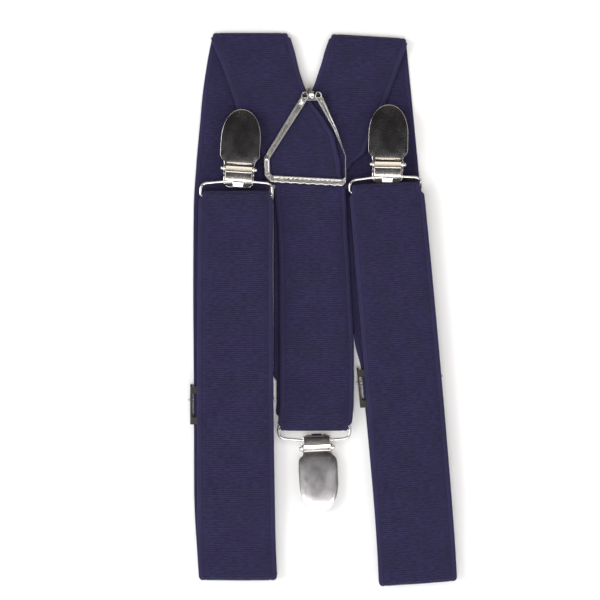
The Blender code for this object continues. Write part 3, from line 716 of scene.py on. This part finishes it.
def leg_routes(bottom, loop, tilt_low, tilt_high, bow, slack):
    """The lower and upper plies of a front leg, each from its fold up to the bail.

    bow is how far they lie to the right of the straight line half way up. They keep their width
    as far as the strap bar, which lies the slack short of the loop's middle.
    """

    def aside(share):
        return bow * math.sqrt(math.sin(math.pi * share))

    neck_share = 1 - (NECK_LENGTH + slack) / math.dist(bottom, loop[:2])
    levels = LEG_LEVELS + [(neck_share - lead, loop[2] - LOOP_R, loop[2] + LOOP_R)
                           for lead in NECK_LEADS]
    lower, upper = [], []
    for share, low, high in levels:
        x = bottom[0] + (loop[0] - bottom[0]) * share + aside(share)
        y = bottom[1] + (loop[1] - bottom[1]) * share
        width = FOLD_W + (LEG_TOP_W - FOLD_W) * share
        tilt = tilt_low + (tilt_high - tilt_low) * share
        lower.append((x, y, low, width, tilt))
        upper.append((x, y, high, width, tilt))
    neck = [a + (b - a) * neck_share for a, b in zip(bottom, loop)]
    neck[0] += aside(neck_share)
    for line in (lower, upper):
        line.append((*neck, line[-1][2], NECK_W, tilt_high))
    return smooth_line(lower), smooth_line(upper)


def front_leg(side, bottom, tilt_low, bow):
    """A front leg: up from its lower fold, round the bail and down again, and the fold's lining."""
    loop = loop_middle(side)
    tilt_high = CLIPS[side].bail_turn
    lower, upper = leg_routes(bottom, loop, tilt_low, tilt_high, bow, CLIPS[side].slack)
    fold = (*bottom, FOLD_Z)
    route = half_turn(*fold, OUTER_FOLD_R, 270, 90, FOLD_W, tilt_low, FOLD_PINCH)[:-1]
    route += upper
    route += half_turn(*loop, LOOP_R, 90, -90, LOOP_W, tilt_high, LOOP_PINCH)
    route += lower[::-1]
    obj, length = ribbon(f"{side}_leg_webbing", route)
    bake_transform(obj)
    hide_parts(f"{side}_front_leg", f"{side}_lower_fold")
    inner = half_turn(*fold, INNER_FOLD_R, 270, 90, FOLD_W, tilt_low, LINING_PINCH)
    lining, _ = ribbon(f"{side}_fold_lining", inner)
    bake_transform(lining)


def strap_over_cross():
    """The left strap from its top fold to the cross, and on down as the back strap."""
    line = smooth_line(LEFT_DIAGONAL + BACK_TOP)
    cut = next(i for i, p in enumerate(line) if p[1] < CROSS_SEAM_Y)
    seam = line[cut]
    return line[:cut] + [seam], [seam] + line[cut + 1 :]


def back_strap(top_line):
    """The back strap: down from the cross, round the bail and up again underneath."""
    route = list(top_line)
    route += half_turn(*loop_middle("back"), LOOP_R, -270, -90, LOOP_W, 0.0, LOOP_PINCH)
    route += smooth_line(BACK_UNDER)
    obj, length = ribbon("back_strap_webbing", route, start_length=120.0)
    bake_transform(obj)
    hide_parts("back_strap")


def make_webbing():
    to_cross, from_cross = strap_over_cross()
    shoulder_strap("left", LEFT_RISE, to_cross)
    shoulder_strap("right", RIGHT_RISE, smooth_line(RIGHT_DIAGONAL))
    return_ply("left", LEFT_RISE)
    return_ply("right", RIGHT_RISE)
    front_leg("left", LEFT_FOLD, 0.0, LEFT_LEG_BOW)
    front_leg("right", RIGHT_FOLD, RIGHT_FOLD_TILT, RIGHT_LEG_BOW)
    back_strap(from_cross)


# ---------------------------------------------------------------- clips

# x, y, z are the middle of the bail's strap bar. slide is how far the clip sits along the clip
# bar from its middle, slack how far the webbing's loop runs on past the strap bar, and pin_u
# where the lever's pin is.
Clip = namedtuple("Clip", "x y z bail_turn clip_turn slide slack pin_u")
CLIPS = {
    "left": Clip(-40.0, 52.9, 6.4, 0.0, -3.7, 0.8, 0.0, 5.6),
    "right": Clip(29.4, 55.0, 6.4, 2.5, -1.2, 1.0, 1.5, 5.6),
    "back": Clip(-3.9, -54.4, 2.3, 180.0, 182.6, -1.2, 0.0, 3.4),
}
BAIL_HALF = 16.8
CLIP_BAR_HALF = 5.5
STRAP_BAR_HALF = 16.6
BAIL_DEPTH = 6.6
BAIL_BOW = 1.0
PLATE_LOW = -1.9
SHEET = 0.8
PAD_HALF = 9.15
JAW_NECK_HALF = 6.0
REAR_HALF = 8.65
REAR_NECK_HALF = 7.0
TIP_U = 33.4
REAR_TIP_U = 32.9
OVAL_LEN = 14.0
NECK_FROM_PIN = 2.0
PIN_W = 3.5
PLATE_START_U = 1.8
EAR_IN = 6.5
EAR_T = 0.75
EAR_R = 1.6
LOBE_HALF = 3.4
LOBE_REACH = 2.7
LOBE_END_U = 2.4
TONGUE_OUT_R, TONGUE_IN_R, TONGUE_HALF = 1.9, 1.15, 2.45
TONGUE_STRETCH = 1.7
HINGE_U, HINGE_W = 3.0, 0.6
STRIP_HALF = 5.5
LIP_HALF = 5.8
COVER_MIDDLE_U = 21.0
# The cover's profile, from its rim to its middle and back inside: (share of the outline, w)
COVER_OUTSIDE = [
    (1.0, 1.5), (1.0, 2.55), (0.998, 2.60), (0.994, 2.625), (0.98, 2.64), (0.92, 2.72),
    (0.84, 2.79), (0.70, 2.86), (0.54, 2.91), (0.36, 2.95), (0.18, 2.97),
]
COVER_INSIDE = [(0.18, 2.5), (0.5, 2.42), (0.80, 2.25), (0.92, 1.95), (0.945, 1.5)]
LEVER_HALF = 6.2
# The lever's profile and its side flanges: (u from the pin, w)
LEVER_TOP = [
    (1.6, 3.6), (1.52, 4.1), (1.3, 4.42), (1.1, 4.52), (-1.1, 5.06), (-1.35, 5.08),
    (-1.55, 4.95), (-1.68, 4.6), (-1.85, 4.43), (-3.0, 4.41), (-4.0, 4.36), (-4.8, 4.30),
    (-5.3, 4.22), (-5.6, 4.05), (-5.8, 3.8),
]
LEVER_UNDER = [(-5.6, 3.5), (-5.1, 3.75), (-4.6, 3.85), (-2.0, 3.85), (-1.2, 4.1)]
ROLL_IN_R, ROLL_OUT_R = 0.95, 1.6
FLANGE = [(-0.9, 4.5), (-5.0, 4.2), (-5.4, 3.7), (-4.2, 2.7), (-0.9, 2.9)]
FLANGE_T = 0.58
GRIP_HALF = 6.6
GRIP_START, GRIP_END = 14.5, 29.0
GRIP_TEETH = 9
TOOTH_DEPTH = 0.35
PIN_DOME = 0.45
PIN_TIP_R = 0.12


def loop_middle(side):
    """The middle of the webbing's loop round the strap bar."""
    clip = CLIPS[side]
    return plan_frame(clip.x, clip.y, clip.z, clip.bail_turn) @ Vector((0, clip.slack, 0))


def clip_frames(side):
    """The placements of the bail and of the clip, both with their origin on the clip bar."""
    clip = CLIPS[side]
    strap_bar = plan_frame(clip.x, clip.y, clip.z, clip.bail_turn)
    bail_at = strap_bar @ Vector((0, BAIL_DEPTH, 0))
    clip_at = strap_bar @ Vector((clip.slide, BAIL_DEPTH, 0))
    return plan_frame(*bail_at, clip.bail_turn), plan_frame(*clip_at, clip.clip_turn)


def oval_outline(half, neck_half, start_u, neck_u, tip_u):
    """The oval plate, as (v, u) points from its neck on the +v side round the tip and back."""
    steps = 18
    side = [(neck_half, start_u)]
    if start_u < neck_u:
        side.append((neck_half, neck_u))
    side += [
        (neck_half + 0.1, neck_u + 0.5), (half - 1.1, neck_u + 2.3), (half - 0.45, neck_u + 3.1),
        (half - 0.12, neck_u + 4.0), (half, neck_u + 5.0), (half, neck_u + 7.5),
    ]
    widest = tip_u - OVAL_LEN
    side.append((half, widest))
    for k in range(1, steps):
        angle = math.pi / 2 * k / steps
        side.append((half * math.cos(angle) ** 0.92, widest + OVAL_LEN * math.sin(angle)))
    return side + [(0.0, tip_u)] + [(-v, u) for v, u in reversed(side)]


def across(outline, start, width, bevel=0.12):
    """A closed piece with a (u, w) outline that runs from v = start over a width."""
    return prism([(start, u, w) for u, w in outline], (width, 0, 0), bevel)


def arc(centre, radius, start, end, count, stretch=1.0):
    """(u, w) points on an arc between two angles in degrees. Its -u side may be stretched."""
    points = []
    for a in np.radians(np.linspace(start, end, count)):
        u = radius * math.cos(a)
        points.append((centre[0] + (u * stretch if u < 0 else u), centre[1] + radius * math.sin(a)))
    return points


def wire_loop(outline, radius, sides=16):
    """Round wire along a closed plane outline."""
    count = len(outline)
    rings = []
    for i, point in enumerate(outline):
        along = (outline[(i + 1) % count] - outline[i - 1]).normalized()
        out = Vector((along.y, -along.x))
        ring = []
        for a in np.linspace(0, 2 * math.pi, sides, endpoint=False):
            reach = radius * math.cos(a)
            ring.append((point.x + out.x * reach, point.y + out.y * reach, radius * math.sin(a)))
        rings.append(ring)
    return loft(rings, closed_loop=True)


def bail(side, place):
    """The wire loop that joins a clip to its webbing, with a slightly bowed clip bar."""
    corners = [
        (-BAIL_HALF, -BAIL_BOW, 3.8), (-CLIP_BAR_HALF, 0.0, 3.0), (CLIP_BAR_HALF, 0.0, 3.0),
        (BAIL_HALF, -BAIL_BOW, 3.8), (STRAP_BAR_HALF, -BAIL_DEPTH, 1.3),
        (-STRAP_BAR_HALF, -BAIL_DEPTH, 1.3),
    ]
    outline = rounded(corners, steps=10, straight=4)
    obj = piece(f"{side}_bail_wire", [wire_loop(outline, WIRE_R)], "nickel", place)
    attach(obj, f"{side}_bail")
    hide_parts(f"{side}_clip_bail")


def rear_plate(side, place):
    """Oval back plate, ears for the lever's pin, and the tail that holds the bail."""
    pin_u = CLIPS[side].pin_u
    neck_u = pin_u + NECK_FROM_PIN
    outline = oval_outline(REAR_HALF, REAR_NECK_HALF, PLATE_START_U, neck_u, REAR_TIP_U)
    shapes = [prism([(v, u, PLATE_LOW) for v, u in outline], (0, 0, SHEET), 0.18)]
    for hand in (-1, 1):
        ear = [
            (PLATE_START_U, PLATE_LOW + 0.1), (neck_u, PLATE_LOW + 0.1), (neck_u, -0.4),
            (pin_u + 1.8, 2.6),
        ]
        ear += arc((pin_u, PIN_W), EAR_R, -20, 200, 26)
        ear += [(max(2.0, pin_u - 2.2), 1.8), (1.9, -0.2)]
        shapes.append(across(ear, EAR_IN * hand, EAR_T * hand, 0.16))
        middle = (LOBE_HALF + 0.2) * hand
        lobe = [(middle + LOBE_HALF * math.cos(a), -0.2 - LOBE_REACH * math.sin(a), PLATE_LOW)
                for a in np.linspace(0, math.pi, 20)]
        lobe += [(middle + half, LOBE_END_U, PLATE_LOW) for half in (-LOBE_HALF, LOBE_HALF)]
        shapes.append(prism(lobe, (0, 0, SHEET), 0.2))
    # The middle tongue is rolled back over the wire
    tongue = arc((0, 0), TONGUE_OUT_R, 275, 70, 24, TONGUE_STRETCH)
    tongue += arc((0, 0), TONGUE_IN_R, 70, 275, 24, TONGUE_STRETCH)
    shapes.append(across(tongue, -TONGUE_HALF, 2 * TONGUE_HALF, 0.2))
    obj = piece(f"{side}_rear_plate", shapes, "nickel", place, sharp=12)
    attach(obj, f"{side}_clip")
    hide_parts(f"{side}_clip_rear_plate")


def cover_shell(outline):
    """A shallow shell over an oval outline, with a rolled rim and an open underside."""
    shell = bmesh.new()
    rows = []
    for share, w in COVER_OUTSIDE + COVER_INSIDE:
        rows.append([shell.verts.new((v * share, COVER_MIDDLE_U + (u - COVER_MIDDLE_U) * share, w))
                     for v, u in outline])
    top = len(COVER_OUTSIDE) - 1
    for k, (first, second) in enumerate(zip(rows, rows[1:])):
        if k != top:
            skin(shell, first, second)
    skin(shell, rows[-1], rows[0])
    shell.faces.new(rows[top])
    shell.faces.new(rows[top + 1][::-1])
    return shell


def front_jaw(side, place):
    """The oval cover and its hinge strip, and on the front clips a raised lip at its neck."""
    neck_u = CLIPS[side].pin_u + NECK_FROM_PIN
    outline = oval_outline(PAD_HALF, JAW_NECK_HALF, neck_u + 0.2, neck_u, TIP_U)
    strip = [
        (HINGE_U - 0.4, HINGE_W), (HINGE_U - 0.2, HINGE_W - 0.4), (neck_u + 0.6, HINGE_W - 0.4),
        (neck_u + 2.4, 1.5), (neck_u + 3.4, 1.8), (neck_u + 3.4, 2.2), (neck_u + 1.6, 2.1),
        (neck_u - 0.2, HINGE_W + 0.4), (HINGE_U - 0.2, HINGE_W + 0.4),
    ]
    shapes = [cover_shell(outline), across(strip, -STRIP_HALF, 2 * STRIP_HALF)]
    if side != "back":
        lip = [
            (neck_u + 0.3, 1.6), (neck_u + 1.5, 1.6), (neck_u + 1.45, 2.6), (neck_u + 0.45, 2.95),
            (neck_u + 0.3, 2.85),
        ]
        shapes.append(across(lip, -LIP_HALF, 2 * LIP_HALF))
    obj = piece(f"{side}_clip_cover", shapes, "cover_nickel", place, sharp=50)
    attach(obj, f"{side}_jaw")
    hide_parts(f"{side}_clip_front_jaw")


def lever(side, place):
    """Sheet rolled round the pin: a sloping band over the roll, a step, and the thumb plate."""
    pin_u = CLIPS[side].pin_u
    roll = arc((0, PIN_W), ROLL_IN_R, 120, -150, 28) + arc((0, PIN_W), ROLL_OUT_R, -150, -5, 20)
    profile = [(pin_u + u, w) for u, w in LEVER_TOP + LEVER_UNDER + roll]
    shapes = [across(profile, -LEVER_HALF, 2 * LEVER_HALF)]
    # Side flanges, folded down along the thumb plate
    flange = [(pin_u + u, w) for u, w in FLANGE]
    for hand in (-1, 1):
        shapes.append(across(flange, (LEVER_HALF - 0.6) * hand, FLANGE_T * hand, 0.1))
    obj = piece(f"{side}_lever_plate", shapes, "nickel", place, sharp=11)
    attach(obj, f"{side}_lever")
    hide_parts(f"{side}_clip_lever")


def pin_shape(centre, half_length, radius, head_radius, head_at):
    """A round pin along X, with a domed head at each end that starts head_at from its middle."""
    stations = []
    for t in np.linspace(0, 1, 5):
        dome = math.sqrt(1 - (1 - t) ** 2)
        stations.append((-half_length + PIN_DOME * t, max(PIN_TIP_R, head_radius * dome)))
    stations += [(-head_at, head_radius), (-head_at + 0.02, radius)]
    stations += [(-x, r) for x, r in reversed(stations)]
    rings = []
    for x, r in stations:
        rings.append([(centre[0] + x, centre[1] + r * math.cos(a), centre[2] + r * math.sin(a))
                      for a in np.linspace(0, 2 * math.pi, 20, endpoint=False)])
    return loft(rings)


def clip_pin(side, place):
    centre = (0.0, CLIPS[side].pin_u, PIN_W)
    shape = pin_shape(centre, half_length=8.5, radius=0.6, head_radius=0.9, head_at=7.5)
    obj = piece(f"{side}_hinge_pin", [shape], "nickel", place)
    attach(obj, f"{side}_clip")
    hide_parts(f"{side}_clip_pin")


def grip(side, name, body, root_w, face_w, place):
    """A nylon pad with cross teeth towards the cloth it holds."""
    pitch = (GRIP_END - GRIP_START) / GRIP_TEETH
    groove_w = face_w - (TOOTH_DEPTH if face_w > root_w else -TOOTH_DEPTH)
    profile = [(GRIP_START, root_w), (GRIP_START, groove_w)]
    for k in range(GRIP_TEETH):
        u = GRIP_START + k * pitch
        profile += [(u + pitch * 0.25, face_w), (u + pitch * 0.6, face_w)]
        profile.append((u + pitch * 0.85, groove_w))
    profile += [(GRIP_END, groove_w), (GRIP_END, root_w)]
    outline = [(-GRIP_HALF, u, w) for u, w in profile]
    shape = prism(outline, (2 * GRIP_HALF, 0, 0), 0.06, segments=1)
    obj = piece(f"{side}_{name}", [shape], "black_nylon", place)
    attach(obj, body)
    return obj


def make_clips():
    for side in CLIPS:
        bail_place, clip_place = clip_frames(side)
        bail(side, bail_place)
        rear_plate(side, clip_place)
        front_jaw(side, clip_place)
        lever(side, clip_place)
        clip_pin(side, clip_place)
        low = grip(side, "lower_pad", f"{side}_clip", PLATE_LOW + SHEET, 0.0, clip_place)
        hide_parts(f"{side}_clip_lower_grip")
        high = grip(side, "upper_pad", f"{side}_jaw", 2.2, 0.3, clip_place)
        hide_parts(f"{side}_clip_upper_grip")


# ---------------------------------------------------------------- cross-back clamp

FRAME_OUTER = [
    (-10.2, 98.9, 0.8), (-27.3, 70.8, 2.0), (-27.0, 62.2, 2.0), (-24.4, 59.2, 1.6),
    (9.4, 57.3, 1.2), (10.9, 59.0, 1.2), (10.9, 71.4, 2.5), (6.7, 83.8, 6.0), (0.2, 98.9, 0.8),
]
FRAME_INNER = [
    (-7.3, 97.1, 0.5), (-24.6, 70.0, 1.2), (-24.4, 63.4, 1.2), (-23.4, 62.5, 0.6),
    (9.1, 60.8, 0.4), (10.4, 61.6, 0.4), (10.35, 71.6, 2.0), (5.1, 83.8, 6.0), (-2.5, 97.1, 0.5),
]
# How deep the knurled channel of each bar is, counted like the corners: bar i leaves corner i
CHANNEL = (1.0, 0.35, 0.25, 0.8, 0.2, 0.1, 0.1, 0.3, 0.1)
# Over how many of a bar's steps its channel fades out at each end
CHANNEL_FADE = 6
BOTTOM_BAR = 3
FRAME_LOW, FRAME_TOP = 4.5, 5.5
CROSS_PIN = (-5.3, 99.9, 6.1)
BALL = (-4.9, 98.7, 6.2)
BALL_R = 1.4
# (x, lean in degrees) of the eyes, which are ovals of wire scaled upwards by EYE_RISE
EYES = [(-8.2, -18), (-2.0, 18)]
EYE_Y, EYE_Z = 99.1, 5.95
EYE_HALF_X, EYE_HALF_Y = 1.45, 1.85
EYE_WIRE_R = 0.5
EYE_RISE = 1.5
ARC_STEPS, BAR_STEPS = 4, 60


def frame_section(depth, knurl):
    """The bar's cross-section: (share from the outer to the inner edge, height)."""
    floor = FRAME_TOP - 0.5 * depth
    notch = 0.14 * knurl * depth
    return [
        (0.0, FRAME_LOW), (0.0, FRAME_TOP - 0.42), (0.04, FRAME_TOP - 0.2),
        (0.11, FRAME_TOP - 0.05), (0.18, FRAME_TOP), (0.25, FRAME_TOP - 0.06), (0.33, floor),
        (0.43, floor + notch), (0.57, floor - notch), (0.67, floor), (0.75, FRAME_TOP - 0.06),
        (0.82, FRAME_TOP), (0.89, FRAME_TOP - 0.05), (0.96, FRAME_TOP - 0.2),
        (1.0, FRAME_TOP - 0.42), (1.0, FRAME_LOW),
    ]


def frame_bars():
    """The open triangle, its bars channelled and knurled between their corners."""
    outer = rounded(FRAME_OUTER, ARC_STEPS, BAR_STEPS)
    inner = rounded(FRAME_INNER, ARC_STEPS, BAR_STEPS)
    per_bar = ARC_STEPS + 1 + BAR_STEPS
    rings = []
    for i, (out, into) in enumerate(zip(outer, inner)):
        bar, station = divmod(i, per_bar)
        from_end = min(max(0, station - ARC_STEPS), per_bar - station)
        ends = min(1.0, from_end / CHANNEL_FADE)
        depth = CHANNEL[bar] * ends
        knurl = math.sin(station * math.pi / 2 + 0.7)
        if bar == BOTTOM_BAR:
            ragged = 0.16 * math.sin(station * 0.83) + 0.10 * math.sin(station * 2.3 + 1.0)
            out = out + Vector((0.0, ragged * ends))
        ring = []
        for share, height in frame_section(depth, knurl):
            point = out.lerp(into, share)
            ring.append((point.x, point.y, height))
        rings.append(ring)
    return loft(rings, closed_loop=True)


def eye(x, lean):
    """An open eye of thick sheet that ends a bar, leaning towards the middle of the clamp."""
    outline = [Vector((EYE_HALF_X * math.cos(a), EYE_HALF_Y * math.sin(a)))
               for a in np.linspace(0, 2 * math.pi, 28, endpoint=False)]
    ring = wire_loop(outline, EYE_WIRE_R, 12)
    bmesh.ops.scale(ring, verts=ring.verts, vec=(1, 1, EYE_RISE))
    turn = Matrix.Translation(Vector((x, EYE_Y, EYE_Z))) @ Matrix.Rotation(lean, 4, "Y")
    bmesh.ops.transform(ring, matrix=turn, verts=ring.verts)
    return ring


def cross_front_frame():
    """The open triangle, an eye at the top of each slanting bar and a ball between them."""
    ball = bmesh.new()
    bmesh.ops.create_uvsphere(ball, u_segments=28, v_segments=18, radius=BALL_R)
    bmesh.ops.translate(ball, verts=ball.verts, vec=Vector(BALL))
    shapes = [frame_bars(), ball]
    foot = [(-1.2, 97.0), (1.2, 97.0), (1.1, 98.2), (-1.1, 98.2)]
    for x, lean in EYES:
        shapes.append(eye(x, math.radians(lean)))
        loop = [(x + aside, y, FRAME_LOW + 0.3) for aside, y in foot]
        shapes.append(prism(loop, (0, 0, 0.9), 0.25))
    obj = piece("cross_front_plate", shapes, "frame_nickel", sharp=42)
    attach(obj, "cross_front_frame")
    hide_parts("cross_front_frame")


def cross_pin():
    """The hinge rod through the eyes, near black as painted shadow inside them."""
    rod = pin_shape(CROSS_PIN, half_length=4.4, radius=0.5, head_radius=0.5, head_at=4.0)
    obj = piece("cross_hinge_rod", [rod], "dark_nickel")
    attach(obj, "shoulder_straps")
    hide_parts("cross_hinge_pin")


# ---------------------------------------------------------------- CAD nodes left showing

CAD_LOOKS = {
    "cross_back_frame": "frame_nickel",
    "left_adjuster_frame": "dark_nickel",
    "right_adjuster_frame": "dark_nickel",
    "left_adjuster_lever": "nickel",
    "right_adjuster_lever": "nickel",
}


def repaint_cad_nodes():
    """Gives the CAD nodes that no piece replaces the looks of the rest."""
    for name, look in CAD_LOOKS.items():
        for material_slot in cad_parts[name].material_slots:
            material_slot.material = LOOKS[look]


make_camera()
make_lights()
make_floor()
make_webbing()
make_clips()
cross_front_frame()
cross_pin()
repaint_cad_nodes()

bpy.context.scene.view_settings.view_transform = "Standard"
